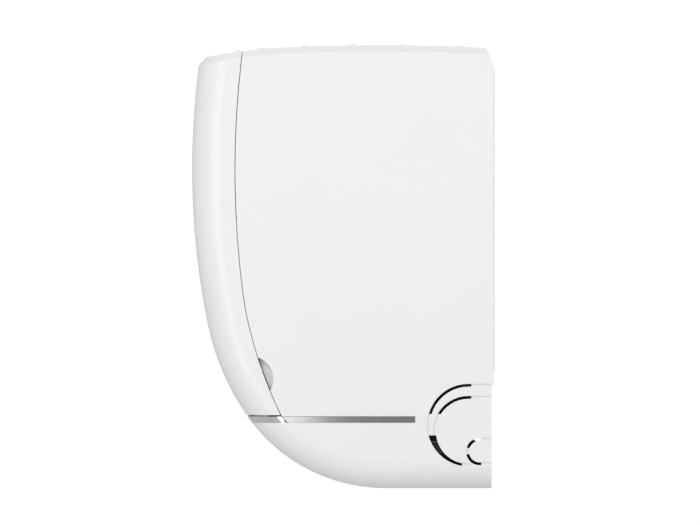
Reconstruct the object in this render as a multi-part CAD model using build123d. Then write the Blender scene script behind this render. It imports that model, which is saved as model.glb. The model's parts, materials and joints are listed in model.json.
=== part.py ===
from build123d import *
import math
import os

# Wall-mounted split air conditioner, indoor unit, in millimetres.
# Row frame: +X along the unit's width (the electrical end is +X), +Y into the wall, +Z up. The origin is
# the middle of the wall plane. A place in the side profile is (depth, height): depth is measured from the
# wall towards the room and height from the unit's foot.

# ---------------------------------------------------------------- driving dimensions
WIDTH = 800.0
HEIGHT = 290.0
WALL = 2.6  # casing and panel thickness
HALF = WIDTH / 2

FRONT_ROUND = 18.0  # rounding of the end faces into the front and the foot
TOP_BEVEL = 4.4  # bevel round the top
TOP_CORNER = (192.9, 281.0)
FRONT_HEADING = -82.3
FRONT_RUNS = [(539, -10.05), (486, -9.5), (163, -22.9), (110, -25.2)]
TOP_HEADING = 167.6
TOP_RUNS = [(330, 9.8), (1350, 5.6)]
REAR_SHOULDER = 274.6  # the rear edge slopes in above this height
FOOT_STEP = 68.0  # below this the end wall stands a little off the wall
FOOT_STEP_DEPTH = 1.8
CASING_OFF_WALL = 0.3

SEAM_START, SEAM_HEADING = (163.7, 291.6), -82.2
SEAM_RUNS = [(616, -15.4), (197, -5.8), (286, -16.0)]
SEAM_GAP = 0.5
PANEL_FOOT = 48.2
NOTCH_CENTRE, NOTCH_RADIUS = (159.0, 71.8), 14.8

TRIM_LOW, TRIM_HIGH = 43.3, 47.2
TRIM_THICK = 1.6
TRIM_REAR = 51.8

DUCT_LEFT, DUCT_RIGHT = -345.0, 300.0
BULKHEAD = 4.0
PLENUM_REAR = 394.0  # half width of the chassis behind the casing

FAN_CENTRE, FAN_RADIUS, FAN_BLADES = (91.0, 118.0), 45.5, 35
FAN_LEFT, FAN_RIGHT = -335.0, 285.0
SHAFT_R, RUNNING = 4.0, 0.06

COIL_LEFT, COIL_RIGHT, COIL_THICK, TUBE_R = -340.0, 295.0, 24.0, 3.5
COIL_BLOCKS = [  # start of the outer face, its direction in degrees, length
    ((165.0, 80.0), 86.1, 60.0),
    ((165.6, 156.0), 122.1, 88.0),
    ((36.0, 185.0), 37.4, 67.0),
]
TUBE_PITCH, ROW_PITCH = 20.0, 12.0

FILTER_CENTRE, FILTER_IN, FILTER_OUT = (36.0, 122.0), 143.7, 146.2
FILTER_SPAN = (-9.0, 76.0)
TAB_RISE = 0.6  # how far the filters' pull tabs stand out
FRAME_IN, FRAME_OUT = 140.4, 143.0

LOUVER_PIVOT = (87.0, 8.5)
LOUVER_REAR, LOUVER_FRONT, LOUVER_THICK = 82.0, 149.6, 3.2
OUTLET_REAR, OUTLET_FRONT = 78.0, 150.6

VANE_ROOT = (139.6, 66.1)
VANE_TILT = 68.55  # slope of the duct ceiling below the horizontal, in degrees
VANE_PITCH, VANE_FIRST, VANES_PER_GROUP = 50.0, -297.5, 6
VANE_PIN_T = 24.0

PANEL_PIVOT = (154.0, 283.0)
PANEL_ARM_X = 370.0

GRILLE_RIBS = [152.8, 124.0, 92.7, 59.4, 22.5]
GRILLE_PITCH = 10.75
RIB_HALF, RIB_RISE, RIB_END = 1.9, 0.9, 393.5

PLATE_W, PLATE_LOW, PLATE_HIGH, PLATE_T = 520.0, 82.0, 248.0, 1.2
PLATE_HOLES = (400.0, 110.0)  # spacing along X and Z of the wall screws
PLATE_HOLE_R = 3.0


# ---------------------------------------------------------------- helpers
def at(depth, height, x=0.0):
    """A point of the side profile, at a place along the width."""
    return Vector(x, -depth, height - HEIGHT / 2)


def polar(centre, radius, degrees):
    a = math.radians(degrees)
    return centre[0] + radius * math.cos(a), centre[1] + radius * math.sin(a)


def arcs_from(start, heading, runs):
    """Tangent arcs from a profile point. A run is (radius, turn), a turn to the left being positive."""
    edges, (d, h), a = [], start, math.radians(heading)
    for radius, turn in runs:
        side = math.copysign(1.0, turn)
        cd, ch = d - side * radius * math.sin(a), h + side * radius * math.cos(a)

        def on_arc(angle):
            return cd + side * radius * math.sin(angle), ch - side * radius * math.cos(angle)

        mid, end = on_arc(a + math.radians(turn) / 2), on_arc(a + math.radians(turn))
        edges.append(ThreePointArc(at(d, h), at(*mid), at(*end)))
        (d, h), a = end, a + math.radians(turn)
    return edges, (d, h), math.degrees(a)


def closed_face(*edges):
    return make_face(list(edges)).face()


def run_line(*points):
    return Polyline(*[at(d, h) for d, h in points])


def along_x(face, x0, x1):
    """A profile face run from x0 to x1."""
    return Solid.extrude(face.moved(Location((x0, 0, 0))), Vector(x1 - x0, 0, 0))


def slab(points, x0, x1):
    return along_x(closed_face(Polyline(*[at(d, h) for d, h in points], close=True)), x0, x1)


def block(x0, x1, d0, d1, h0, h1):
    return slab([(d0, h0), (d1, h0), (d1, h1), (d0, h1)], x0, x1)


def rod(centre, radius, x0, x1):
    return Solid.make_cylinder(radius, x1 - x0, Plane(at(*centre, x0), z_dir=(1, 0, 0)))


def ring(centre, outer, inner, x0, x1):
    return rod(centre, outer, x0, x1) - rod(centre, inner, x0 - 1, x1 + 1)


def joined(*shapes):
    """Everything fused into one shape."""
    shapes = list(shapes)
    return shapes[0].fuse(*shapes[1:]).clean() if len(shapes) > 1 else shapes[0]


def sector(centre, r_in, r_out, a0, a1):
    """A ring segment of the side profile between two angles."""
    mid = (a0 + a1) / 2

    def arc(r, first, last):
        return ThreePointArc(*[at(*polar(centre, r, a)) for a in (first, mid, last)])

    return closed_face(
        arc(r_out, a0, a1),
        run_line(polar(centre, r_out, a1), polar(centre, r_in, a1)),
        arc(r_in, a1, a0),
        run_line(polar(centre, r_in, a0), polar(centre, r_out, a0)),
    )


def mirrored(shape):
    return shape.mirror(Plane.YZ)


# ---------------------------------------------------------------- outer shell
def outline(rear):
    """The side profile. rear is the depth of its back edge: 0 for the real one, negative to run past it."""
    front, (d4, h4), heading = arcs_from(TOP_CORNER, FRONT_HEADING, FRONT_RUNS)
    rest = 180.0 + heading
    foot_radius = h4 / (1 - math.cos(math.radians(rest)))
    last, foot, _ = arcs_from((d4, h4), heading, [(foot_radius, -rest)])
    foot = (foot[0], 0.0)
    top, rear_top, _ = arcs_from(TOP_CORNER, TOP_HEADING, TOP_RUNS)
    if rear < 0:
        back = run_line(rear_top, (rear, rear_top[1] - 1), (rear, 0), foot)
    else:
        back = run_line(rear_top, (0, REAR_SHOULDER), (0, FOOT_STEP), (FOOT_STEP_DEPTH, FOOT_STEP),
                        (FOOT_STEP_DEPTH, 0), foot)
    return closed_face(*front, *last, back, *top)


def inset_outline(inset, rear=0.0):
    face = outline(rear)
    return offset(face, amount=-inset, kind=Kind.INTERSECTION).face() if inset else face


def envelope(inset, rear=0.0):
    """The whole unit's outer form, or the same form shrunk by inset."""
    half = HALF - inset
    solid = along_x(inset_outline(inset, rear), -half, half)
    low_corner = TOP_CORNER[1] - inset - 1.5

    def place(edge):
        c = edge.center()
        return abs(c.X), -c.Y, c.Z + HEIGHT / 2

    def front_edge(edge):
        x, d, h = place(edge)
        return abs(x - half) < 0.01 and d > 7 and h < low_corner

    solid = solid.fillet(FRONT_ROUND - inset, [e for e in solid.edges() if front_edge(e)])

    def top_edge(edge):
        x, d, h = place(edge)
        box = edge.bounding_box()
        low = box.min.Z + HEIGHT / 2
        crosswise = box.size.X > WIDTH / 2
        return low > low_corner and d > 6 and not (crosswise and d < TOP_CORNER[0] - inset - 2)

    edges = [e for e in solid.edges() if top_edge(e)]
    if inset > TOP_BEVEL - 0.5:
        return solid
    if inset:
        return solid.fillet(TOP_BEVEL - inset * 0.5, edges)
    return solid.chamfer(TOP_BEVEL, None, edges)


def panel_zone(grow, foot):
    """Everything in front of the seam between the panel and the casing, above the panel's foot."""
    a = math.radians(SEAM_HEADING)
    start = SEAM_START[0] + grow * math.sin(a), SEAM_START[1] - grow * math.cos(a)
    seam, end, _ = arcs_from(start, SEAM_HEADING, [(radius - grow, turn) for radius, turn in SEAM_RUNS])
    far = 230.0
    face = closed_face(*seam, run_line(end, (far, end[1]), (far, start[1]), start))
    return along_x(face, -HALF - 5, HALF + 5) & block(-HALF - 6, HALF + 6, 60, 260, foot, 320)


def knockout(centre, radius):
    """A D-shaped prism through the right end wall, run back past its rear edge."""
    d, h = centre
    return joined(
        rod(centre, radius, HALF - 6, HALF + 2),
        block(HALF - 6, HALF + 2, -4, d, h - radius, h + radius),
    )


KNOCKOUTS = [("large", (17, 41.7), 26.0), ("small", (17, 37.6), 22.2), ("hose", (9.6, 24.4), 8.0)]


def knockout_cuts():
    """The three pipe knock-outs: slots with thin bridges at the right end, thin grooves at the left."""
    slot = 1.9
    rings = {}
    for name, centre, r in KNOCKOUTS:
        rings[name] = (knockout(centre, r + slot / 2), knockout(centre, r - slot / 2))
    strokes = {n: a - b for n, (a, b) in rings.items()}
    wedge = rings["large"][0] - rings["small"][1]
    upper = block(HALF - 7, HALF + 3, 15.1, 60, 48.9, 90)
    lower = block(HALF - 7, HALF + 3, 21.2, 60, 5, 35)
    through = [
        strokes["large"] & upper,
        strokes["small"] & upper,
        wedge & lower,
        strokes["hose"] & block(HALF - 7, HALF + 3, 8.6, 30, 26.8, 40),
        strokes["hose"] & block(HALF - 7, HALF + 3, 8.6, 30, 5, 22.7),
    ]
    skin = block(HALF - 1.5, HALF + 3, -5, 60, 5, 90)
    right = through + [s & skin for s in strokes.values()]
    return right + [mirrored(cut & skin) for cut in right]


def finger_notch(grow, x0, x1):
    """The half-moon scoop beside the panel's edge, where a finger pulls the panel open."""
    return rod(NOTCH_CENTRE, NOTCH_RADIUS + grow, x0, x1)


def skin_band(inset, thick, zone):
    """The part of a wall set in from the outer surface that lies in a zone."""
    return (envelope(inset) & zone) - envelope(inset + thick)


def window_frame():
    """The casing's front under the panel: a curved frame with one window for each filter."""
    reach = HALF - 4.5
    arc = along_x(sector(FILTER_CENTRE, FRAME_IN, FRAME_OUT, -13, 58), -reach, reach)
    for x0, x1 in ((-337.0, -29.0), (-15.0, 293.0)):
        arc = arc - along_x(sector(FILTER_CENTRE, FRAME_IN - 1, FRAME_OUT + 1, -7.5, 60), x0, x1)
    for x0, x1 in ((-reach - 1, -338.0), (294.0, reach + 1)):
        arc = arc - along_x(sector(FILTER_CENTRE, FRAME_IN - 1, FRAME_OUT + 1, 34, 60), x0, x1)
    arc = arc & envelope(3.5)
    apron = skin_band(3.5, 2.2, block(-HALF, HALF, 148, 200, 45.5, 91.0))
    ledge = block(-reach, reach, 173, 181, 88.2, 90.4) & envelope(3.6)
    foot_band = skin_band(WALL - 0.3, 3.3, block(-HALF, HALF, 140, 170, 41.5, TRIM_HIGH - 0.2))
    cheek = skin_band(3.5, 2.2, block(HALF - 8, HALF, 140, 200, 90.5, 262)) & panel_zone(10, 47)
    cheek = cheek & rod(FILTER_CENTRE, FRAME_OUT, HALF - 9, HALF)
    flange = panel_zone(10, 47) - panel_zone(SEAM_GAP / 2 + 0.2, 40)
    flange = flange & block(HALF - 5.7, HALF - 2.4, 120, 180, 88, 250)
    flange = flange & rod(FILTER_CENTRE, FRAME_OUT, HALF - 9, HALF)
    rib_points = [(138.6, 228.0), (144.0, 219.0), (161.6, 250), (161.4, 284.2), (156.2, 285.4), (150.0, 252)]
    mid_rib = slab(rib_points, -25.0, -19.0)
    return [apron, foot_band, ledge, arc, cheek, flange, mirrored(cheek), mirrored(flange), mid_rib]


def intake_collar():
    """Stiffening wall around the edge of the intake opening."""
    x0, x1 = DUCT_LEFT + 6, DUCT_RIGHT - 4
    rear, front = GRILLE_RIBS[-1] - 2.2, GRILLE_RIBS[0] + 2.2
    wide = along_x(inset_outline(1.0), x0 - 2.4, x1 + 2.4)
    wide = wide & block(x0 - 3, x1 + 3, rear - 2.4, front + 2.4, 274, 300)
    return wide - block(x0, x1, rear, front, 260, 300)


def top_ribs(x0, x1, depth):
    """The grille's ribs carried on over the solid top, standing a little proud of it."""
    rise = offset(outline(0), amount=RIB_RISE, kind=Kind.INTERSECTION).face() - inset_outline(depth)
    band = along_x(rise, x0, x1)
    return [band & block(x0 - 1, x1 + 1, d - RIB_HALF, d + RIB_HALF, 262, 300) for d in GRILLE_RIBS]


def front_casing(outer, inner):
    """End walls, top, foot and front frame, moulded as one part."""
    body = outer - inner
    body = body - panel_zone(SEAM_GAP / 2, TRIM_HIGH)
    body = body - block(-HALF - 1, HALF + 1, -2, CASING_OFF_WALL, FOOT_STEP, REAR_SHOULDER)
    outlet = slab([(OUTLET_REAR, -3), (OUTLET_REAR, 10), (120, 40), (146.4, 42.5), (OUTLET_FRONT - 2, 38),
                   (OUTLET_FRONT + 3.2, 31), (OUTLET_FRONT, -3)], DUCT_LEFT, DUCT_RIGHT)
    body = body - outlet
    cup = finger_notch(1.4, HALF - 8.4, HALF - WALL + 0.4) - panel_zone(SEAM_GAP / 2, 40)
    ear = slab([(148, 278.4), (160, 278.4), (160, 284.9), (148, 285.6)], PANEL_ARM_X + 5, PANEL_ARM_X + 9)
    extras = [cup, mirrored(cup), ear, mirrored(ear), intake_collar(), *window_frame()]
    extras += screw_bosses(2.0, 4.4, 6.6)
    extras += top_ribs(DUCT_RIGHT - 4, RIB_END, 1.0)
    extras += top_ribs(-RIB_END, DUCT_LEFT + 6, 1.0)
    for extra in extras:
        body = body.fuse(extra)
    intake = block(DUCT_LEFT + 6, DUCT_RIGHT - 4, GRILLE_RIBS[-1] - 2.2, GRILLE_RIBS[0] + 2.2, 262, 300)
    groove = (outer - envelope(TRIM_THICK + 0.05)) & block(-HALF - 2, HALF + 2, TRIM_REAR - 0.1, 230,
                                                           TRIM_LOW - 0.1, TRIM_HIGH + 0.3)
    pocket = finger_notch(0, HALF - 7.0, HALF + 2)
    cuts = [intake, groove, pocket, mirrored(pocket)]
    hinge_bore = rod(PANEL_PIVOT, 2.0 + RUNNING, PANEL_ARM_X + 4, PANEL_ARM_X + 10)
    arm_slot = block(PANEL_ARM_X - 4, PANEL_ARM_X + 4, 149.6, 166, 276.5, 295)
    cuts += [hinge_bore, mirrored(hinge_bore), arm_slot, mirrored(arm_slot)]
    cuts += screw_bosses(-1, 2.6, 4.7) + screw_bosses(2.4, 9.0, 1.8)
    x, d, h = BUTTON_AT
    cuts.append(Solid.make_cylinder(3.3, 12, Plane(at(d - 8, h, x), z_dir=(0, -1, 0))))
    for cutter in cuts + knockout_cuts():
        body = body.cut(cutter)
    return body


SCREW_X = [-250.0, -22.5, 205.0]
SCREW_SEAT, SCREW_ANGLE = (171.2, 70.6), -25.5
BUTTON_AT = (345.0, 178.0, 108.0)  # place along the width, depth of the frame, height


def screw_bosses(deep0, deep1, radius):
    """Cylinders square to the lower front, from one depth under the panel's inner face to another."""
    a = math.radians(SCREW_ANGLE)
    out = Vector(0, -math.cos(a), math.sin(a))
    made = []
    for x in SCREW_X:
        start = at(*SCREW_SEAT, x) - out * deep1
        made.append(Solid.make_cylinder(radius, deep1 - deep0, Plane(start, z_dir=out)))
    return made


def accent_trim(outer):
    core = envelope(TRIM_THICK)
    return (outer - core) & block(-HALF - 2, HALF + 2, TRIM_REAR, 230, TRIM_LOW, TRIM_HIGH)


def top_grille():
    """Long ribs with slats between them, following the arched top."""
    x0, x1 = DUCT_LEFT + 6.3, DUCT_RIGHT - 4.3
    band = inset_outline(0.5) - inset_outline(7.0)
    rear, front = GRILLE_RIBS[-1] - RIB_HALF, GRILLE_RIBS[0] + RIB_HALF
    window = block(-1, 1, rear, front, 262, 300)
    slat = along_x(band, -0.8, 0.8) & window
    count = int((x1 - x0) / GRILLE_PITCH)
    step = (x1 - x0 - 3) / count
    slats = [slat.moved(Location((x0 + 1.5 + i * step, 0, 0))) for i in range(count + 1)]
    return joined(*top_ribs(x0, x1, 9.0), *slats)


def front_panel(outer, inner):
    """The deep-sided front cover with its hinge arms, stiffening ribs and top lip."""
    zone = panel_zone(-SEAM_GAP / 2, PANEL_FOOT)
    skin = (outer - inner) & zone
    arm_points = [(154.0, 279.8), (153.0, 285.9), (160.0, 285.6), (168, 284.6), (186, 280.8), (190, 262),
                  (185, 262), (174, 277.0)]
    arm = slab(arm_points, PANEL_ARM_X - 2.5, PANEL_ARM_X + 2.5)
    arm = joined(arm & inner, rod(PANEL_PIVOT, 3.2, PANEL_ARM_X - 2.5, PANEL_ARM_X + 3.4))
    pin = rod(PANEL_PIVOT, 2.0, PANEL_ARM_X + 3, PANEL_ARM_X + 8.6)
    rib_band = along_x(inset_outline(WALL - 0.4) - inset_outline(WALL + 3.2), -1.0, 1.0) & zone
    rib_band = rib_band & block(-2, 2, 160, 230, 120, 262)
    ribs = [rib_band.moved(Location((x, 0, 0))) for x in (-310, -200, -90, 45, 155, 265)]
    rise = offset(outline(0), amount=RIB_RISE, kind=Kind.INTERSECTION).face() - inset_outline(1.0)
    lip = along_x(rise, -391, 391) & block(-392, 392, 165.9, 169.5, 270, 300)
    window = block(*RECEIVER_X, 150, 230, *RECEIVER_H)
    return joined(skin, arm, mirrored(arm), pin, mirrored(pin), lip, *ribs) - window


RECEIVER_X, RECEIVER_H = (318.0, 366.0), (128.0, 142.0)


def receiver_window(outer, inner):
    gap = 0.15
    lens = block(RECEIVER_X[0] + gap, RECEIVER_X[1] - gap, 150, 230, RECEIVER_H[0] + gap, RECEIVER_H[1] - gap)
    return (outer - inner) & lens


# ---------------------------------------------------------------- chassis and air path
SCROLL_IN = [(57.0, 155.0), (38.0, 118.0), (47.0, 82.0), (59.5, 46.0), (77.0, 8.0)]
SCROLL_OUT = [(54.0, 157.0), (35.0, 118.0), (44.0, 81.0), (56.4, 45.4), (73.6, 8.0)]


def scroll_face():
    def curve(points):
        return ThreePointArc(*[at(*p) for p in points[:3]]), ThreePointArc(*[at(*p) for p in points[2:]])

    return closed_face(*curve(SCROLL_IN), run_line(SCROLL_IN[-1], SCROLL_OUT[-1]), *curve(SCROLL_OUT),
                       run_line(SCROLL_OUT[0], SCROLL_IN[0]))


def bulkhead(x0, x1, bore):
    """An end wall of the fan chamber and the air duct."""
    a, b, c, d, e = [at(*p) for p in SCROLL_OUT]
    edge = run_line(SCROLL_OUT[-1], (76.5, 3.8), (92.0, 6.0), (108.0, 11.0), (123.0, 17.8), (134.5, 25.0),
                    (143.0, 32.4), (147.4, 42.0), (129.6, 87.6), (132.6, 92.4), (140.4, 87.2), (142.6, 142.0),
                    (109.4, 195.4), (102.6, 202.6), (56.0, 167.0), (50.0, 160.0), SCROLL_OUT[0])
    plate = along_x(closed_face(ThreePointArc(a, b, c), ThreePointArc(c, d, e), edge), x0, x1)
    plate = plate - rod(FAN_CENTRE, bore, x0 - 1, x1 + 1)
    return plate - rod(LOUVER_PIVOT, 2.5 + RUNNING, x0 - 1, x1 + 1)


def rear_chassis():
    """Rear wall, scroll, rear drain trough, pipe channel, bulkheads and the louver's middle eye."""
    w = PLENUM_REAR
    scroll = along_x(scroll_face(), DUCT_LEFT - 0.5, DUCT_RIGHT + 0.5)
    rear_wall = block(-w, w, 9, 12, 155, 262)
    top_rail = slab([(0, 259), (12, 259), (12, 262), (3, 262), (3, 274), (0, 274)], -w, w)
    hook_lip = block(-w + 60, w - 60, 3.0, 5.0, 247.8, 259.5)
    trough_points = [(11, 155), (57, 155), (58, 168), (56, 168), (54.4, 158), (11, 158)]
    trough = slab(trough_points, DUCT_LEFT - 2, DUCT_RIGHT + 2)
    channel_top = block(-w, w, 6, 46.4, 77, 80) - block(364, 391, 14, 40, 70, 90)
    lower_rail = slab([(0, 77), (6.5, 77), (6.5, 80), (2.4, 80), (2.4, 92), (0, 92)], -w, w)
    channel_floor = block(-w, w, 4, 73.0, 9, 12)
    web = slab([(9, 80), (44, 80), (36, 118), (52, 155), (9, 155)], 0, 3.0)
    webs = [web.moved(Location((x, 0, 0))) for x in (-345, -240, -130, -22, 85, 190, 297)]
    end = block(w - 2.6, w, 0, 12, 77, 274)
    channel_back = block(DUCT_RIGHT, w, 2.4, 4.2, 11.5, 79)
    sides = [block(DUCT_RIGHT + BULKHEAD, w, 9, 12, 79, 156), block(-w, DUCT_LEFT - BULKHEAD, 9, 12, 79, 156)]
    body = joined(scroll, rear_wall, top_rail, hook_lip, trough, channel_top, lower_rail, channel_floor,
                  *webs, end, mirrored(end), channel_back, *sides, louver_eye())
    body = body.fuse(bulkhead(DUCT_LEFT - BULKHEAD, DUCT_LEFT, 16.0))
    return body.fuse(bulkhead(DUCT_RIGHT, DUCT_RIGHT + BULKHEAD, 14.0))


PAN_LEFT, PAN_RIGHT = -352.0, 307.0


def vane_plane(x):
    """Local frame of a vane: X along the width, Y down the air stream, Z across the duct from its ceiling."""
    a = math.radians(VANE_TILT)
    across = Vector(0, math.sin(a), -math.cos(a))
    return Plane(at(*VANE_ROOT, x), x_dir=(1, 0, 0), z_dir=across)


def vane_places():
    return [VANE_FIRST + i * VANE_PITCH for i in range(2 * VANES_PER_GROUP)]


def drain_pan():
    """Front drain trough, fan tongue and duct ceiling."""
    section = [(131, 88), (148.4, 43.7), (150.2, 46.5), (151.0, 50.0), (165.6, 70.5), (170.4, 86),
               (168.0, 86.4), (164.6, 73), (147.0, 71), (137.4, 84.4), (133.6, 90)]
    pan = slab(section, PAN_LEFT, PAN_RIGHT)
    end = slab([(147.2, 70), (165, 72), (167, 79), (141, 79)], PAN_LEFT, PAN_LEFT + 2.6)
    pan = joined(pan, end, end.moved(Location((PAN_RIGHT - PAN_LEFT - 2.6, 0, 0))))
    pan = pan - rod((152.5, 62.5), 4.0, PAN_RIGHT - 14, PAN_RIGHT + 1)
    bores = []
    for x in vane_places():
        plane = vane_plane(x)
        start = plane.from_local_coords(Vector(0, 0, -5.0))
        bores.append(Solid.make_cylinder(2.0 + RUNNING, 7, Plane(start, z_dir=plane.z_dir)))
    return pan.cut(*bores, *screw_bosses(2.0, 8.4, 1.65))


def drain_plug():
    """Rubber plug in the pan's spare outlet."""
    head = rod((152.5, 62.5), 5.2, PAN_RIGHT + 0.0, PAN_RIGHT + 3.0)
    return joined(head, rod((152.5, 62.5), 3.9, PAN_RIGHT - 9, PAN_RIGHT + 0.5))


# ---------------------------------------------------------------- moving air parts
def louver():
    x0, x1 = DUCT_LEFT + 1.5, DUCT_RIGHT - 1.5
    band = inset_outline(0) - inset_outline(LOUVER_THICK)
    skin = along_x(band, x0, x1) & slab(
        [(LOUVER_REAR, -3), (LOUVER_REAR, 12), (146.2, 40.0), (LOUVER_FRONT + 2.6, 30.5), (LOUVER_FRONT, -3)],
        x0 - 1, x1 + 1)
    skin = skin - block(-29.2, -24.0, 70, 92, -3, 20)
    arm = [(83.2, 4.2), (83.4, 10.0), (87.0, 12.1), (91, 10.4), (104, 8.4), (104, 6.6), (92, 3.4)]
    parts = [skin]
    for a, b in ((x0, x0 + 3), (-24.0, -20.0), (x1 - 3, x1)):
        parts.append(slab(arm, a, b))
    parts.append(rod(LOUVER_PIVOT, 2.5, x0 - 5.2, x0 + 1))
    parts.append(rod(LOUVER_PIVOT, 2.5, x1 - 1, x1 + 12.0))
    parts.append(rod(LOUVER_PIVOT, 2.0, -27.6, -23.5))
    return joined(*parts)


def louver_eye():
    """Fixed eye at mid width that carries the louver's middle pin."""
    arm = slab([(76.0, 9.4), (87.0, 5.0), (89.0, 11.6), (78.4, 17.5), (72.6, 18.4), (72.6, 14)], -27.6, -24.6)
    return joined(arm, rod(LOUVER_PIVOT, 3.5, -27.6, -24.6)) - rod(LOUVER_PIVOT, 2.0 + RUNNING, -29, -23)


def louver_motor():
    """Stepper motor on the right bulkhead; its bore takes the louver's shaft."""
    x = DUCT_RIGHT + BULKHEAD
    can = rod((87.0, 17.6), 12.0, x + 0.3, x + 15.3)
    tabs = slab([(70, 14), (104, 14), (104, 20), (70, 20)], x + 0.3, x + 1.5)
    nose = rod(LOUVER_PIVOT, 4.0, x + 0.3, x + 8.0)
    return joined(can, tabs, nose) - rod(LOUVER_PIVOT, 2.5 + RUNNING, x - 1, x + 7.6)


def vane(x):
    blade = Solid.make_box(1.2, 33, 56.4).moved(Location((-0.6, -14, 1.6)))
    corners = [e for e in blade.edges() if e.bounding_box().size.X > 1 and e.center().Z > 50]
    blade = blade.fillet(7, corners)
    ear = Solid.make_box(1.6, 8.2, 4).moved(Location((-0.8, 18, 22)))
    ear_pad = Solid.make_cylinder(2.6, 4, Plane((0, VANE_PIN_T, 22)))
    hook = Solid.make_cylinder(1.5, 5.6, Plane((0, VANE_PIN_T, 25.5)))
    disc = Solid.make_cylinder(4.5, 1.6, Plane((0, 0, 0.3)))
    pivot = Solid.make_cylinder(2.0, 4.9, Plane((0, 0, -4.5)))
    made = joined(blade, ear, ear_pad, hook, disc, pivot)
    return made.moved(vane_plane(x).location)


def vane_link(xs):
    """The bar that ties a group of vanes together, with a thumb tab."""
    first, last = xs[0] - 7, xs[-1] + 7
    bar = Solid.make_box(last - first, 5, 2).moved(Location((first, VANE_PIN_T - 2.5, 27)))
    middle = (xs[2] + xs[3]) / 2
    tab = Solid.make_box(12, 1.4, 10).moved(Location((middle - 6, VANE_PIN_T + 1.1, 28)))
    link = joined(bar, tab)
    holes = [Solid.make_cylinder(1.5 + RUNNING, 4, Plane((x, VANE_PIN_T, 26))) for x in xs]
    return link.cut(*holes).moved(vane_plane(0).location)


def cross_flow_fan():
    """Blades between discs, with a solid hub disc at each end."""
    r_in, r_out = 33.0, FAN_RADIUS - 0.5

    def blade_edge(shift):
        return [at(*polar(FAN_CENTRE, r, a + shift)) for r, a in ((r_in, 0), (39.5, 5.0), (r_out, 14.5))]

    back, front = blade_edge(0), blade_edge(2.0)
    sides = Line(back[2], front[2]), Line(front[0], back[0])
    face = closed_face(ThreePointArc(*back), sides[0], ThreePointArc(*front), sides[1])
    blade = along_x(face, FAN_LEFT + 1, FAN_RIGHT - 1)
    axis = Axis(at(*FAN_CENTRE), (1, 0, 0))
    blades = [blade.rotate(axis, 360 / FAN_BLADES * i) for i in range(FAN_BLADES)]
    segments = 8
    step = (FAN_RIGHT - FAN_LEFT - 3) / segments
    discs = [ring(FAN_CENTRE, FAN_RADIUS, 31.5, FAN_LEFT + i * step, FAN_LEFT + i * step + 3)
             for i in range(1, segments)]
    for x in (FAN_LEFT, FAN_RIGHT - 3):
        discs.append(rod(FAN_CENTRE, FAN_RADIUS, x, x + 3))
    hub = rod(FAN_CENTRE, 13, FAN_RIGHT - 26, FAN_RIGHT - 1)
    stub = rod(FAN_CENTRE, 8, FAN_LEFT + 1, FAN_LEFT + 14)
    bore = rod(FAN_CENTRE, SHAFT_R, FAN_RIGHT - 22, FAN_RIGHT + 1)
    bore_left = rod(FAN_CENTRE, SHAFT_R, FAN_LEFT - 1, FAN_LEFT + 10)
    return discs[0].fuse(*discs[1:], *blades, hub, stub).cut(bore, bore_left)


MOTOR_LEFT, MOTOR_RIGHT, MOTOR_R = 312.0, 368.0, 40.0


def fan_shafts():
    """The motor's shaft in the fan's hub and the stub that runs in the bearing."""
    drive = rod(FAN_CENTRE, SHAFT_R, FAN_RIGHT - 22, MOTOR_LEFT + 12)
    stub = rod(FAN_CENTRE, SHAFT_R, DUCT_LEFT - 9, FAN_LEFT + 10)
    return Compound(children=[drive, stub])


def fan_motor():
    can = rod(FAN_CENTRE, MOTOR_R, MOTOR_LEFT + 4, MOTOR_RIGHT)
    rims = [e for e in can.edges() if e.center().X > MOTOR_RIGHT - 1 or e.center().X < MOTOR_LEFT + 5]
    can = can.fillet(4, [e for e in rims if e.geom_type == GeomType.CIRCLE])
    boss = rod(FAN_CENTRE, 12, MOTOR_LEFT, MOTOR_LEFT + 5)
    seam = ring(FAN_CENTRE, MOTOR_R + 2, MOTOR_R - 2, 334, 337)
    return joined(can, boss, seam) - rod(FAN_CENTRE, SHAFT_R + RUNNING, MOTOR_LEFT - 1, MOTOR_LEFT + 12.5)


def motor_bracket():
    """Clamp over the motor, screwed to the chassis' rear wall."""
    hoop = ring(FAN_CENTRE, MOTOR_R + 6, MOTOR_R + 3, 338, 352)
    pads = [block(338, 352, 12.1, 50, h, h + 3) for h in (138, 95)]
    flanges = [block(336, 354, 12.1, 14.6, h, h + 14) for h in (138, 84)]
    return joined(hoop, *pads, *flanges) - rod(FAN_CENTRE, MOTOR_R + 3, 330, 360)


def motor_cushions():
    """Rubber rings between the motor and its clamp."""
    return ring(FAN_CENTRE, MOTOR_R + 2.95, MOTOR_R + 0.05, 339, 351)


def fan_bearing():
    """Oil-filled bearing in a rubber holder, set in the left bulkhead."""
    x = DUCT_LEFT - BULKHEAD
    holder = ring(FAN_CENTRE, 15.9, SHAFT_R + RUNNING, x - 3, x + 3.0)
    collar = ring(FAN_CENTRE, 19.0, 12.0, x - 3, x - 0.05)
    return joined(holder, collar)


# ---------------------------------------------------------------- heat exchanger
def block_axes(angle):
    a = math.radians(angle)
    return (math.cos(a), math.sin(a)), (-math.sin(a), math.cos(a))


def coil_corner(start, angle, along, inward):
    """A point of a coil block: along its outer face and inward towards the fan."""
    (ud, uh), (nd, nh) = block_axes(angle)
    if angle < 80:
        nd, nh = -nd, -nh
    return start[0] + along * ud + inward * nd, start[1] + along * uh + inward * nh


def coil_section(start, angle, length, grow=0.0):
    low, high, deep = -grow, length + grow, COIL_THICK + grow
    return [coil_corner(start, angle, a, i) for a, i in ((low, low), (high, low), (high, deep), (low, deep))]


def evaporator_fins():
    return Compound(children=[slab(coil_section(*b), COIL_LEFT, COIL_RIGHT) for b in COIL_BLOCKS])


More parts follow.
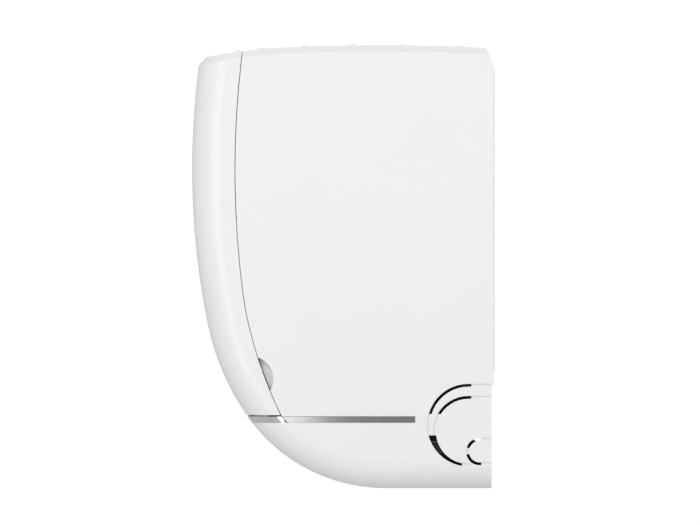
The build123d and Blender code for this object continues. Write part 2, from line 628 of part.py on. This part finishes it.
def tube_centres(spec):
    start, angle, length = spec
    count = int(length // TUBE_PITCH)
    first = (length - (count - 1) * TUBE_PITCH) / 2
    rows = [[coil_corner(start, angle, first + i * TUBE_PITCH, 6 + r * ROW_PITCH) for i in range(count)]
            for r in (0, 1)]
    return rows


PLATE_COIL = 1.2


def evaporator_end_plates():
    plates = []
    for spec in COIL_BLOCKS:
        for x0 in (COIL_LEFT - PLATE_COIL, COIL_RIGHT):
            plates.append(slab(coil_section(*spec, grow=0.4), x0, x0 + PLATE_COIL))
    return Compound(children=plates)


def return_bend(p, q, x, side):
    """A U-bend between two tubes, standing out of the end plate on the given side."""
    mid = ((p[0] + q[0]) / 2, (p[1] + q[1]) / 2)
    major = math.dist(p, q) / 2
    direction = at(*q) - at(*p)
    foot = x + side * 1.0
    normal = direction.cross(Vector(side, 0, 0)).normalized()
    arc = Solid.make_torus(major, TUBE_R, Plane(at(*mid, foot), x_dir=direction.normalized(), z_dir=normal),
                           major_angle=180)
    if (arc.center().X - foot) * side < 0:
        arc = arc.mirror(Plane((foot, 0, 0), z_dir=(1, 0, 0)))
    low, high = sorted((x, foot))
    return joined(arc, rod(p, TUBE_R, low, high), rod(q, TUBE_R, low, high))


def evaporator_tubes():
    """Copper U-bends at both ends and the crossovers between blocks."""
    bends = []
    left, right = COIL_LEFT - PLATE_COIL, COIL_RIGHT + PLATE_COIL
    for spec in COIL_BLOCKS:
        a, b = tube_centres(spec)
        for i in range(0, len(a) - 1, 2):
            bends += [return_bend(a[i], a[i + 1], left, -1), return_bend(b[i], b[i + 1], left, -1)]
        for i in range(1, len(a) - 1, 2):
            bends += [return_bend(a[i], a[i + 1], right, 1), return_bend(b[i], b[i + 1], right, 1)]
        if len(a) % 2:
            bends.append(return_bend(a[-1], b[-1], left, -1))
        if spec is not COIL_BLOCKS[-1]:
            bends.append(return_bend(a[0], b[0], right, 1))
    return Compound(children=bends)


def apex_seal():
    """Foam strip that closes the gap at the top of the coil."""
    return slab([(117.5, 231.5), (88.5, 227.4), (88.0, 230.0), (116.8, 234.6)], COIL_LEFT, COIL_RIGHT)


def air_filter(x0, x1):
    """A curved frame with a fine sheet in its windows and a pull tab at its foot."""
    a0, a1 = FILTER_SPAN
    frame = along_x(sector(FILTER_CENTRE, FILTER_IN, FILTER_OUT, a0, a1), x0, x1)
    rows, columns, bar, bar_deg = 4, 5, 3.0, 1.2
    width = (x1 - x0 - 10 - (columns - 1) * bar) / columns
    sweep = (a1 - a0 - 6.4 - (rows - 1) * bar_deg) / rows
    windows = []
    for r in range(rows):
        start = a0 + 3.8 + r * (sweep + bar_deg)
        face = sector(FILTER_CENTRE, FILTER_IN + 0.9, FILTER_OUT + 1, start, start + sweep)
        below = sector(FILTER_CENTRE, FILTER_IN - 1, FILTER_IN + 0.5, start, start + sweep)
        for c in range(columns):
            left = x0 + 5 + c * (width + bar)
            windows += [along_x(face, left, left + width), along_x(below, left, left + width)]
    frame = frame.cut(*windows)
    middle = (x0 + x1) / 2
    grip = sector(FILTER_CENTRE, FILTER_OUT - 0.5, FILTER_OUT + TAB_RISE, a0 + 1.6, a0 + 3.6)
    tab = along_x(grip, middle - 22, middle + 22)
    return joined(frame, tab)


# ---------------------------------------------------------------- electrical end
BOX_LEFT, BOX_RIGHT = 312.5, 388.0
BOX_SECTION = [(137, 98), (171, 98), (172, 138), (155.5, 188), (138, 212), (137, 212)]


def electric_box():
    outer = slab(BOX_SECTION, BOX_LEFT, BOX_RIGHT)
    inner_points = [(139, 100), (169, 100), (170, 137.6), (153.8, 187), (139, 209)]
    inner = slab(inner_points, BOX_LEFT + 2, BOX_RIGHT + 1)
    return outer - inner


def electric_box_lid():
    return slab(BOX_SECTION, BOX_RIGHT + 0.1, BOX_RIGHT + 1.7)


def control_board():
    return block(318, 386, 143, 144.6, 103, 196)


def board_parts():
    """Relay, capacitor, transformer, fuse, chip and connectors on the board."""
    relay = block(320, 338, 144.7, 156, 152, 167)
    capacitor = Solid.make_cylinder(7, 14, Plane(at(144.7, 158, 354), z_dir=(0, -1, 0)))
    transformer = block(320, 346, 144.7, 162, 124, 148)
    chip = block(352, 370, 144.7, 146.7, 132, 144)
    sockets = [block(x, x + 10, 144.7, 151, 175, 182) for x in (320, 334, 348, 362)]
    fuse = Solid.make_cylinder(2.6, 20, Plane(at(147.4, 112, 358), z_dir=(1, 0, 0)))
    return Compound(children=[relay, capacitor, transformer, chip, fuse, *sockets])


BLOCK_SLOTS = (318.8, 326.4, 334.0, 341.6)


def terminal_block():
    body = block(317, 349, 144.7, 160, 104, 118)
    return body.cut(*[block(x, x + 5.4, 152, 161, 106, 120) for x in BLOCK_SLOTS])


def terminal_screws():
    planes = [Plane(at(152.05, 111.5, x + 2.7), z_dir=(0, -1, 0)) for x in BLOCK_SLOTS]
    return Compound(children=[Solid.make_cylinder(2.2, 3.4, plane) for plane in planes])


def cable_clamp():
    """Clamp that holds the supply cable where it enters the box; the cable itself isn't part of the unit."""
    base = block(352, 384, 147, 166, 88, 97.9)
    return base - rod((156.5, 93), 3.6, 350, 386)


def display_board():
    board = block(316, 368, 180.6, 182.0, 124, 146)
    posts = [block(x, x + 8, 170, 180.7, 130, 140) for x in (322, 354)]
    return joined(board, *posts) - rod(FILTER_CENTRE, FRAME_OUT + 0.02, 300, 380)


def manual_button():
    x, d, h = BUTTON_AT
    cap = Solid.make_cylinder(3.2, 5.6, Plane(at(174.8, h, x), z_dir=(0, -1, 0)))
    flange = Solid.make_cylinder(4.6, 0.9, Plane(at(174.1, h, x), z_dir=(0, -1, 0)))
    stem = Solid.make_cylinder(1.6, 1.6, Plane(at(172.6, h, x), z_dir=(0, -1, 0)))
    return joined(cap, flange, stem)


# ---------------------------------------------------------------- wall side
def mounting_plate():
    """Steel plate on the wall, with hooks that carry the chassis and holes for the wall screws."""
    w = PLATE_W / 2
    plate = block(-w, w, 0, PLATE_T, PLATE_LOW + 12, PLATE_HIGH)
    hook_points = [(0.2, 246), (7.4, 246), (7.4, 257), (6.2, 257), (6.2, 247.2), (0.2, 247.2)]
    hooks = [slab(hook_points, x - 22, x + 22) for x in (-200, 0, 200)]
    flange = slab([(0.2, 94), (5.4, 94), (5.4, 95.2), (0.2, 95.2)], -w, w)
    plate = joined(plate, flange, *hooks)
    zc = (PLATE_LOW + 12 + PLATE_HIGH) / 2
    cuts = []
    for sx in (-1, 1):
        for sz in (-1, 1):
            centre = (sx * PLATE_HOLES[0] / 2, HEIGHT / 2 + sz * PLATE_HOLES[1] / 2 + PLATE_CENTRE)
            cuts.append(hole_y(*centre, PLATE_HOLE_R))
    for x in (-240, -160, -120, -60, 60, 120, 160, 240):
        cuts.append(hole_y(x, zc + 60, 2.2))
        cuts.append(hole_y(x, zc - 8, 2.2))
    for x in (-95, 95):
        middle = block(x - 20, x + 20, -2, 4, zc - 49, zc - 31)
        cuts.append(joined(hole_y(x - 20, zc - 40, 9), hole_y(x + 20, zc - 40, 9), middle))
    return plate.cut(*cuts)


PLATE_CENTRE = 26.0  # height of the wall screws' pattern above the origin


def hole_y(x, h, r):
    return Solid.make_cylinder(r, 8, Plane(at(-3, h, x), z_dir=(0, -1, 0)))


PIPE_GAS, PIPE_LIQUID, HOSE_AT = (26.0, 56.0), (26.0, 34.0), (14.0, 20.2)
GAS_END, LIQUID_END = -60.0, -80.0
GAS_RISE, LIQUID_RISE = 376.0, 386.0  # where each pipe turns up, along the width


def swept_tube(points, radius, bend):
    path = FilletPolyline(*points, radius=bend)
    start = Plane(path @ 0, z_dir=path % 0)
    return sweep(start * Circle(radius), path=path).solid()


def coil_pipe(channel, x_end, x_rise, radius, row):
    """From the pipe channel, up behind the motor and back along the width to the rear coil block."""
    d, h = channel
    td, th = tube_centres(COIL_BLOCKS[-1])[row][0]
    points = [at(d, h, x_end), at(d, h, x_rise), at(d, 150, x_rise), at(td, th, x_rise),
              at(td, th, COIL_RIGHT + PLATE_COIL + 0.05)]
    return swept_tube(points, radius, 13)


def gas_pipe():
    return coil_pipe(PIPE_GAS, GAS_END, GAS_RISE, 4.76, 0)


def liquid_pipe():
    return coil_pipe(PIPE_LIQUID, LIQUID_END, LIQUID_RISE, 3.18, 1)


def pipe_insulation():
    """Foam sleeves over both pipes."""
    return Compound(children=[ring(PIPE_GAS, 10.8, 4.78, GAS_END + 26, 350),
                              ring(PIPE_LIQUID, 9.0, 3.2, LIQUID_END + 26, 350)])


def flare_fittings():
    """Threaded flare unions on the pipe ends."""
    made = []
    for centre, tube, thread, x in ((PIPE_GAS, 4.76, 7.9, GAS_END), (PIPE_LIQUID, 3.18, 5.55, LIQUID_END)):
        hexagon = hex_bar(centre, thread + 1.8, x - 4, x + 8)
        stub = rod(centre, thread, x - 20, x - 3.9)
        union = joined(hexagon, stub) - rod(centre, tube + 0.01, x - 0.05, x + 9)
        made.append(union - rod(centre, tube * 0.75, x - 21, x + 1))
    return Compound(children=made)


def hex_bar(centre, radius, x0, x1):
    return slab([polar(centre, radius, 60 * i) for i in range(6)], x0, x1)


def drain_hose():
    """Corrugated hose end in the pipe channel."""
    core = ring(HOSE_AT, 6.4, 5.4, -40, 346)
    ribs = [ring(HOSE_AT, 7.6, 6.0, x, x + 2.4) for x in range(-40, 340, 8)]
    return joined(core, *ribs)


def pipe_retainer():
    """Cover strap that holds the pipes in the channel."""
    strap = joined(block(200, 236, 2.0, 4.2, 12.6, 76.4), block(200, 236, 2.0, 5.8, 12.2, 14.0),
                   block(200, 236, 2.0, 10, 75.0, 76.8))
    return strap


def casing_screws():
    """Screws under the caps, through the apron."""
    heads, shanks = screw_bosses(1.0, 2.5, 3.6), screw_bosses(2.4, 8.0, 1.6)
    return Compound(children=[joined(head, shank) for head, shank in zip(heads, shanks)])


def screw_caps():
    return Compound(children=screw_bosses(0.3, 0.9, 4.6))


def room_sensor():
    """Air thermistor beside the coil's right end, on the electric box."""
    return rod((166.0, 148.0), 2.4, 304.0, BOX_LEFT)


def coil_sensor():
    p = coil_corner(*COIL_BLOCKS[1][:2], 44, -4.2)
    return rod(p, 3.0, COIL_RIGHT - 16, COIL_RIGHT + 14)


def main():
    os.makedirs("parts", exist_ok=True)
    outer, inner = envelope(0.0), envelope(WALL, rear=-12.0)
    vanes = vane_places()
    groups = {"left": vanes[:VANES_PER_GROUP], "right": vanes[VANES_PER_GROUP:]}
    nodes = {
        "front_casing": lambda: front_casing(outer, inner),
        "top_grille": top_grille,
        "accent_trim": lambda: accent_trim(outer),
        "front_panel": lambda: front_panel(outer, inner),
        "receiver_window": lambda: receiver_window(outer, inner),
        "rear_chassis": rear_chassis,
        "drain_pan": drain_pan,
        "drain_plug": drain_plug,
        "louver": louver,
        "louver_motor": louver_motor,
        "cross_flow_fan": cross_flow_fan,
        "fan_shafts": fan_shafts,
        "fan_motor": fan_motor,
        "motor_bracket": motor_bracket,
        "motor_cushions": motor_cushions,
        "fan_bearing": fan_bearing,
        "evaporator_fins": evaporator_fins,
        "evaporator_end_plates": evaporator_end_plates,
        "evaporator_tubes": evaporator_tubes,
        "apex_seal": apex_seal,
        "air_filter_left": lambda: air_filter(-341.0, -27.0),
        "air_filter_right": lambda: air_filter(-17.0, 297.0),
        "electric_box": electric_box,
        "electric_box_lid": electric_box_lid,
        "control_board": control_board,
        "board_parts": board_parts,
        "terminal_block": terminal_block,
        "terminal_screws": terminal_screws,
        "cable_clamp": cable_clamp,
        "display_board": display_board,
        "manual_button": manual_button,
        "mounting_plate": mounting_plate,
        "gas_pipe": gas_pipe,
        "liquid_pipe": liquid_pipe,
        "pipe_insulation": pipe_insulation,
        "flare_fittings": flare_fittings,
        "drain_hose": drain_hose,
        "pipe_retainer": pipe_retainer,
        "casing_screws": casing_screws,
        "screw_caps": screw_caps,
        "room_sensor": room_sensor,
        "coil_sensor": coil_sensor,
    }
    for side, xs in groups.items():
        for i, x in enumerate(xs, 1):
            nodes[f"vane_{side}_{i}"] = lambda x=x: vane(x)
        nodes[f"vane_link_{side}"] = lambda xs=xs: vane_link(xs)
    for name, make in nodes.items():
        export_step(make(), f"parts/{name}.step")


main()
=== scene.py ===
import json
import math

import bpy
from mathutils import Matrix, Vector


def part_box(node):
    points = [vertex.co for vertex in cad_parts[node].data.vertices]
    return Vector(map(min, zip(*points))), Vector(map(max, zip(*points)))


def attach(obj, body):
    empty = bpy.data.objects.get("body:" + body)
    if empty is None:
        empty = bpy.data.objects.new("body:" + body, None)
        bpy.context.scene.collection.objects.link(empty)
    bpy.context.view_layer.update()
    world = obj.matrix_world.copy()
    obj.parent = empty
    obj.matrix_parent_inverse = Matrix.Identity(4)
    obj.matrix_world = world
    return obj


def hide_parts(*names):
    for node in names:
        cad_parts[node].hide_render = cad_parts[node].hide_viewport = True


# lengths are in metres, except where the comment says millimetres
END_FACE = 0.4  # the right end of the unit
FILTER_CENTRE = (0.036, -0.023)  # depth and height of the axis of the filters' curve
NET_RADII = (0.14405, 0.14475)  # the filter faces between these radii are net, the rest is frame
NET_MIDDLE = 0.1444
NET_PITCH = 0.0012
THREAD_CORE, THREAD_EDGE = 0.00011, 0.00017  # a thread is solid out to the first, and gone at the second
HEIGHT = 290.0  # millimetres, of the whole unit
COIL_THICK = 24.0  # millimetres
# each block of the coil, in millimetres from the wall and the foot: the first corner, the slope in
# degrees and the length
COIL_BLOCKS = [((165.0, 80.0), 86.1, 60.0), ((165.6, 156.0), 122.1, 88.0), ((36.0, 185.0), 37.4, 67.0)]
REAR_SLOPE = 80  # degrees; a block that slopes less is behind the apex and is thick the other way
FIN_PITCH, FIN_THICK = 0.0014, 0.00016
FIN_MARGIN = 0.0004
FIN_RIPPLES, RIPPLE_DEPTH = 12, 0.0002
SHADE_WRAP_START = 0.302  # the pipes get a dark foam wrap to the right of this, which is painted shade for the bay seen through the end slots
PAINTED_SHADE_WALLS = (0.3965, 0.3982)  # the inner faces of the end walls are between these, and they get painted shade
WORLD_LEVEL, WORLD_END_LEVEL = 0.55, 0.22  # the light from all round, and from beyond the right end
END_GLOW = (0.9, 0.99)  # how squarely a direction faces the right end where one gives way to the other
BACKDROP_LEVEL = 1.05
FLOOR_LEVEL, FLOOR_REACH = -2.2, 4
CAMERA_MIDDLE = (-0.0943, 0.0028)
CAMERA_DISTANCE, FRAME_WIDTH = 5.0, 0.4567
SENSOR_WIDTH = 36

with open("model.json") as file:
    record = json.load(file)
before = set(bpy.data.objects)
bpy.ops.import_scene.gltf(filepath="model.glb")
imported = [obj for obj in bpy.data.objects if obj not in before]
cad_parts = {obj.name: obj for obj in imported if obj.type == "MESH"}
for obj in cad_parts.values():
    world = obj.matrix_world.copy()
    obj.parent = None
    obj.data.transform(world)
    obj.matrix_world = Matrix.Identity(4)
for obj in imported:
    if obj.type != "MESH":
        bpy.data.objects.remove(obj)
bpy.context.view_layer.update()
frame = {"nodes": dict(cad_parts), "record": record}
nodes = frame["nodes"]


# ---------------------------------------------------------------- material helpers
def new_material(name, base, rough=0.4, metallic=0.0, specular=0.5):
    """A material of one colour and finish, its node tree and its shader."""
    mat = bpy.data.materials.new(name)
    mat.use_nodes = True
    tree = mat.node_tree
    shader = tree.nodes["Principled BSDF"]
    shader.inputs["Base Color"].default_value = (*base, 1)
    shader.inputs["Roughness"].default_value = rough
    shader.inputs["Metallic"].default_value = metallic
    shader.inputs["Specular IOR Level"].default_value = specular
    return mat, tree, shader


def add(tree, kind, **values):
    """A node, with values for its sockets or its settings by name."""
    node = tree.nodes.new(kind)
    for key, value in values.items():
        if key in node.inputs:
            node.inputs[key].default_value = value
        else:
            setattr(node, key, value)
    return node


def position(tree, scale=(1, 1, 1)):
    """Object coordinates in metres, stretched by scale."""
    coords = add(tree, "ShaderNodeTexCoord")
    mapping = add(tree, "ShaderNodeMapping")
    mapping.inputs["Scale"].default_value = scale
    tree.links.new(coords.outputs["Object"], mapping.inputs["Vector"])
    return mapping.outputs["Vector"]


def ramp(tree, source, low, high, dark, light):
    """A colour that runs from dark to light as source goes from low to high."""
    node = add(tree, "ShaderNodeValToRGB")
    node.color_ramp.elements[0].position = low
    node.color_ramp.elements[1].position = high
    node.color_ramp.elements[0].color = (*dark, 1)
    node.color_ramp.elements[1].color = (*light, 1)
    tree.links.new(source, node.inputs["Fac"])
    return node.outputs["Color"]


def remap(tree, source, low, high, out_low, out_high):
    """A value that runs from out_low to out_high as source goes from low to high."""
    node = add(tree, "ShaderNodeMapRange")
    for key, value in (("From Min", low), ("From Max", high), ("To Min", out_low), ("To Max", out_high)):
        node.inputs[key].default_value = value
    tree.links.new(source, node.inputs["Value"])
    return node.outputs["Result"]


def noise(tree, scale, detail, stretch=(1, 1, 1)):
    node = add(tree, "ShaderNodeTexNoise", Scale=scale, Detail=detail, Roughness=0.5)
    tree.links.new(position(tree, stretch), node.inputs["Vector"])
    return node.outputs["Fac"]


def bump(tree, shader, height, distance):
    node = add(tree, "ShaderNodeBump", Strength=1.0, Distance=distance)
    tree.links.new(height, node.inputs["Height"])
    tree.links.new(node.outputs["Normal"], shader.inputs["Normal"])


def plastic(name, light, dark, rough, grain=9000, depth=1e-6, specular=0.5):
    """Moulded plastic: faint mottling, fine grain and slightly uneven gloss."""
    mat, tree, shader = new_material(name, light, rough[0], specular=specular)
    cloud = noise(tree, 9, 4)
    tree.links.new(ramp(tree, cloud, 0.3, 0.7, dark, light), shader.inputs["Base Color"])
    tree.links.new(remap(tree, noise(tree, 60, 5), 0.3, 0.7, *rough), shader.inputs["Roughness"])
    bump(tree, shader, noise(tree, grain, 2), depth)
    return mat


def metal(name, light, dark, rough, stretch=(1, 1, 1), scale=400, depth=3e-6):
    """Bare metal with drawn or rolled streaks."""
    mat, tree, shader = new_material(name, light, rough[0], metallic=1.0)
    streak = noise(tree, scale, 4, stretch)
    tree.links.new(ramp(tree, streak, 0.3, 0.7, dark, light), shader.inputs["Base Color"])
    tree.links.new(remap(tree, streak, 0.3, 0.7, *rough), shader.inputs["Roughness"])
    bump(tree, shader, streak, depth)
    return mat


MATS = {
    "casing_white": plastic("casing_white", (0.925, 0.935, 0.95), (0.915, 0.925, 0.942), (0.28, 0.34)),
    "panel_white": plastic("panel_white", (0.93, 0.94, 0.955), (0.922, 0.932, 0.947), (0.22, 0.28)),
    "grille_white": plastic("grille_white", (0.9, 0.91, 0.925), (0.885, 0.895, 0.91),
                            (0.42, 0.5), 6000, 6e-6),
    "chassis_grey": plastic("chassis_grey", (0.075, 0.08, 0.088), (0.055, 0.058, 0.064),
                            (0.5, 0.62), 5000, 1e-5),
    "vane_dark": plastic("vane_dark", (0.09, 0.1, 0.11), (0.06, 0.065, 0.07), (0.4, 0.5), 5000, 8e-6),
    "fan_black": plastic("fan_black", (0.035, 0.037, 0.042), (0.02, 0.021, 0.025), (0.4, 0.55), 5000, 8e-6),
    "foam_grey": plastic("foam_grey", (0.05, 0.052, 0.055), (0.03, 0.032, 0.034),
                         (0.85, 0.95), 1200, 1e-4, 0.2),
    "rubber_black": plastic("rubber_black", (0.02, 0.02, 0.022), (0.012, 0.012, 0.013),
                            (0.6, 0.75), 3000, 2e-5, 0.3),
    "filter": plastic("filter", (0.1, 0.17, 0.3), (0.07, 0.13, 0.25), (0.45, 0.6), 4000, 1e-5),
    "motor_grey": plastic("motor_grey", (0.07, 0.07, 0.075), (0.045, 0.045, 0.05), (0.5, 0.65), 2500, 3e-5),
    "box_cream": plastic("box_cream", (0.75, 0.73, 0.66), (0.68, 0.66, 0.6), (0.5, 0.6), 5000, 1e-5),
    "board_green": plastic("board_green", (0.03, 0.18, 0.07), (0.02, 0.12, 0.05), (0.3, 0.4), 2500, 8e-6),
    "parts_mixed": plastic("parts_mixed", (0.05, 0.06, 0.09), (0.02, 0.02, 0.03), (0.35, 0.5), 2500, 1e-5),
    "lens_dark": plastic("lens_dark", (0.02, 0.021, 0.024), (0.014, 0.014, 0.016), (0.05, 0.09), 900, 5e-7),
    "trim_chrome": metal("trim_chrome", (0.82, 0.82, 0.85), (0.78, 0.78, 0.82),
                         (0.06, 0.09), (1, 1, 12), 300, 3e-7),
    "steel": metal("steel", (0.62, 0.63, 0.65), (0.5, 0.51, 0.53), (0.25, 0.4)),
    "aluminium": metal("aluminium", (0.8, 0.82, 0.85), (0.7, 0.72, 0.76), (0.3, 0.45), (1, 1, 0.2), 500),
    "copper": metal("copper", (0.75, 0.36, 0.2), (0.5, 0.2, 0.1), (0.25, 0.45), (0.2, 1, 1), 250),
    "brass": metal("brass", (0.72, 0.53, 0.22), (0.6, 0.42, 0.16), (0.25, 0.4)),
    "galvanised": metal("galvanised", (0.66, 0.68, 0.7), (0.5, 0.52, 0.55), (0.3, 0.5), (1, 1, 1), 120, 5e-6),
}


def net_material():
    """Woven filter mesh: open between fine threads that run along the width and around the curve."""
    mat, tree, shader = new_material("filter_net", (0.1, 0.17, 0.3), 0.5, specular=0.3)
    coords = add(tree, "ShaderNodeTexCoord")
    axes = add(tree, "ShaderNodeSeparateXYZ")
    tree.links.new(coords.outputs["Object"], axes.inputs["Vector"])
    depth = add(tree, "ShaderNodeMath", operation="ADD")
    depth.inputs[1].default_value = FILTER_CENTRE[0]
    tree.links.new(axes.outputs["Y"], depth.inputs[0])
    height = add(tree, "ShaderNodeMath", operation="SUBTRACT")
    height.inputs[1].default_value = FILTER_CENTRE[1]
    tree.links.new(axes.outputs["Z"], height.inputs[0])
    angle = add(tree, "ShaderNodeMath", operation="ARCTAN2")
    tree.links.new(height.outputs["Value"], angle.inputs[0])
    tree.links.new(depth.outputs["Value"], angle.inputs[1])
    arc = add(tree, "ShaderNodeMath", operation="MULTIPLY")
    arc.inputs[1].default_value = NET_MIDDLE
    tree.links.new(angle.outputs["Value"], arc.inputs[0])
    threads = []
    for source in (axes.outputs["X"], arc.outputs["Value"]):
        wave = add(tree, "ShaderNodeMath", operation="PINGPONG")
        wave.inputs[1].default_value = NET_PITCH / 2
        tree.links.new(source, wave.inputs[0])
        threads.append(remap(tree, wave.outputs["Value"], THREAD_CORE, THREAD_EDGE, 1.0, 0.0))
    cover = add(tree, "ShaderNodeMath", operation="MAXIMUM")
    tree.links.new(threads[0], cover.inputs[0])
    tree.links.new(threads[1], cover.inputs[1])
    tree.links.new(cover.outputs["Value"], shader.inputs["Alpha"])
    tree.links.new(ramp(tree, noise(tree, 40, 3), 0.3, 0.7, (0.08, 0.14, 0.25), (0.12, 0.19, 0.33)),
                   shader.inputs["Base Color"])
    return mat


# ---------------------------------------------------------------- finishes of the nodes
slots = {part["node"]: part["material_slot"] for part in frame["record"]["subparts"]}
for name, obj in nodes.items():
    obj.data.materials.clear()
    obj.data.materials.append(MATS[slots[name]])
    for face in obj.data.polygons:
        face.material_index = 0


def paint(name, slot, chosen):
    """Give one finish to those faces of a node that chosen picks by their middle, in metres, and normal."""
    mesh = nodes[name].data
    mesh.materials.append(MATS[slot])
    for face in mesh.polygons:
        if chosen(face.center, face.normal):
            face.material_index = len(mesh.materials) - 1


# the pipes in the bay at the right end get a dark foam wrap, and the end walls a dark finish inside: both are
# painted shade, so that the bay seen through the end slots looks black
# painted shade: the pipes in the right bay are made dark foam grey
paint("gas_pipe", "foam_grey", lambda p, n: p.x > SHADE_WRAP_START)
paint("liquid_pipe", "foam_grey", lambda p, n: p.x > SHADE_WRAP_START)
# painted shade: the inner faces of both end walls are made dark foam grey
paint("front_casing", "foam_grey", lambda p, n: PAINTED_SHADE_WALLS[0] < abs(p.x) < PAINTED_SHADE_WALLS[1] and n.x * p.x < 0)

net = net_material()
for name in ("air_filter_left", "air_filter_right"):
    mesh = nodes[name].data
    mesh.materials.append(net)
    for face in mesh.polygons:
        points = [mesh.vertices[i].co for i in face.vertices]
        reach = [math.hypot(p.y + FILTER_CENTRE[0], p.z - FILTER_CENTRE[1]) for p in points]
        face.material_index = int(all(NET_RADII[0] < r < NET_RADII[1] for r in reach))


# ---------------------------------------------------------------- coil fins
def coil_corner(start, angle, along, inward):
    """A point of a coil block: along its outer face, and inward from it."""
    a = math.radians(angle)
    turn = -1 if angle < REAR_SLOPE else 1
    d = start[0] + along * math.cos(a) - turn * inward * math.sin(a)
    h = start[1] + along * math.sin(a) + turn * inward * math.cos(a)
    return -d / 1000, (h - HEIGHT / 2) / 1000


def coil_fins():
    """Thin rippled plates, one behind the other, in the place of the coil's three blocks."""
    lo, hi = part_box("evaporator_fins")
    count = int((hi.x - lo.x) / FIN_PITCH)
    verts, faces = [], []
    for start, angle, length in COIL_BLOCKS:
        for i in range(count):
            x = lo.x + FIN_MARGIN + i * (hi.x - lo.x - 2 * FIN_MARGIN) / (count - 1)
            base = len(verts)
            for k in range(FIN_RIPPLES + 1):
                along = length * k / FIN_RIPPLES
                shift = RIPPLE_DEPTH if k % 2 else -RIPPLE_DEPTH
                for inward in (0.0, COIL_THICK):
                    y, z = coil_corner(start, angle, along, inward)
                    for side in (-FIN_THICK / 2, FIN_THICK / 2):
                        verts.append((x + shift + side, y, z))
            for k in range(FIN_RIPPLES):
                a, b = base + 4 * k, base + 4 * (k + 1)
                faces += [(a, a + 2, b + 2, b), (a + 1, b + 1, b + 3, a + 3), (a, b, b + 1, a + 1),
                          (a + 2, a + 3, b + 3, b + 2)]
            end = base + 4 * FIN_RIPPLES
            faces += [(base, base + 1, base + 3, base + 2), (end, end + 2, end + 3, end + 1)]
    mesh = bpy.data.meshes.new("coil_fins")
    mesh.from_pydata(verts, [], faces)
    mesh.materials.append(MATS["aluminium"])
    piece = bpy.data.objects.new("coil_fins", mesh)
    bpy.context.scene.collection.objects.link(piece)
    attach(piece, "unit")
    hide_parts("evaporator_fins")


coil_fins()


# ---------------------------------------------------------------- light, floor, camera
world = bpy.data.worlds.new("studio")
bpy.context.scene.world = world
world.use_nodes = True
wt = world.node_tree
background = wt.nodes["Background"]
background.inputs["Color"].default_value = (1, 1, 1, 1)
sky = add(wt, "ShaderNodeTexCoord")
sky_axes = add(wt, "ShaderNodeSeparateXYZ")
wt.links.new(sky.outputs["Generated"], sky_axes.inputs["Vector"])
glow = remap(wt, sky_axes.outputs["X"], *END_GLOW, WORLD_LEVEL, WORLD_END_LEVEL)
path = add(wt, "ShaderNodeLightPath")
seen = add(wt, "ShaderNodeMix", data_type="FLOAT")
wt.links.new(path.outputs["Is Camera Ray"], seen.inputs["Factor"])
wt.links.new(glow, seen.inputs[2])
seen.inputs[3].default_value = BACKDROP_LEVEL
wt.links.new(seen.outputs[0], background.inputs["Strength"])


def area_light(name, place, target, size, power):
    """A soft panel of light at place that faces target and that the camera does not see."""
    data = bpy.data.lights.new(name, "AREA")
    data.shape = "RECTANGLE"
    data.size, data.size_y = size
    data.energy = power
    lamp = bpy.data.objects.new(name, data)
    bpy.context.scene.collection.objects.link(lamp)
    lamp.location = place
    lamp.visible_camera = False
    lamp.rotation_euler = (Vector(target) - Vector(place)).to_track_quat("-Z", "Y").to_euler()
    return lamp


area_light("key_softbox", (2.5, -0.85, 0.4), (END_FACE, -0.1, 0.0), (1.1, 2.2), 14)
area_light("end_fill", (1.0, -0.02, 0.15), (END_FACE, -0.06, 0.0), (0.6, 0.6), 1.05).visible_glossy = False
# a small card that the bright trim reflects near the front
area_light("trim_card", (2.9, -0.158, -0.16), (END_FACE, -0.158, -0.16), (0.05, 0.2), 0.036)
area_light("top_soft", (-0.4, -0.5, 2.2), (-0.1, -0.1, 0.0), (2.4, 1.4), 3)
area_light("front_soft", (-1.6, -2.6, 1.4), (0.0, -0.1, 0.0), (1.6, 1.2), 3)

floor_mesh = bpy.data.meshes.new("floor")
corners = [(x * FLOOR_REACH, y * FLOOR_REACH, FLOOR_LEVEL) for x, y in ((-1, -1), (1, -1), (1, 1), (-1, 1))]
floor_mesh.from_pydata(corners, [], [(0, 1, 2, 3)])
floor = bpy.data.objects.new("floor", floor_mesh)
bpy.context.scene.collection.objects.link(floor)
floor_pale = plastic("floor_pale", (0.9, 0.9, 0.905), (0.89, 0.89, 0.895), (0.7, 0.8), 400, 1e-5)
floor_mesh.materials.append(floor_pale)

bpy.context.scene.view_settings.view_transform = "Standard"
bpy.context.scene.view_settings.look = "None"

camera_data = bpy.data.cameras.new("camera")
camera_data.sensor_width = SENSOR_WIDTH
camera_data.lens = SENSOR_WIDTH * CAMERA_DISTANCE / FRAME_WIDTH
camera_data.clip_end = 60
camera = bpy.data.objects.new("camera", camera_data)
bpy.context.scene.collection.objects.link(camera)
camera.location = (END_FACE + CAMERA_DISTANCE, *CAMERA_MIDDLE)
camera.rotation_euler = (math.pi / 2, 0, math.pi / 2)
bpy.context.scene.camera = camera
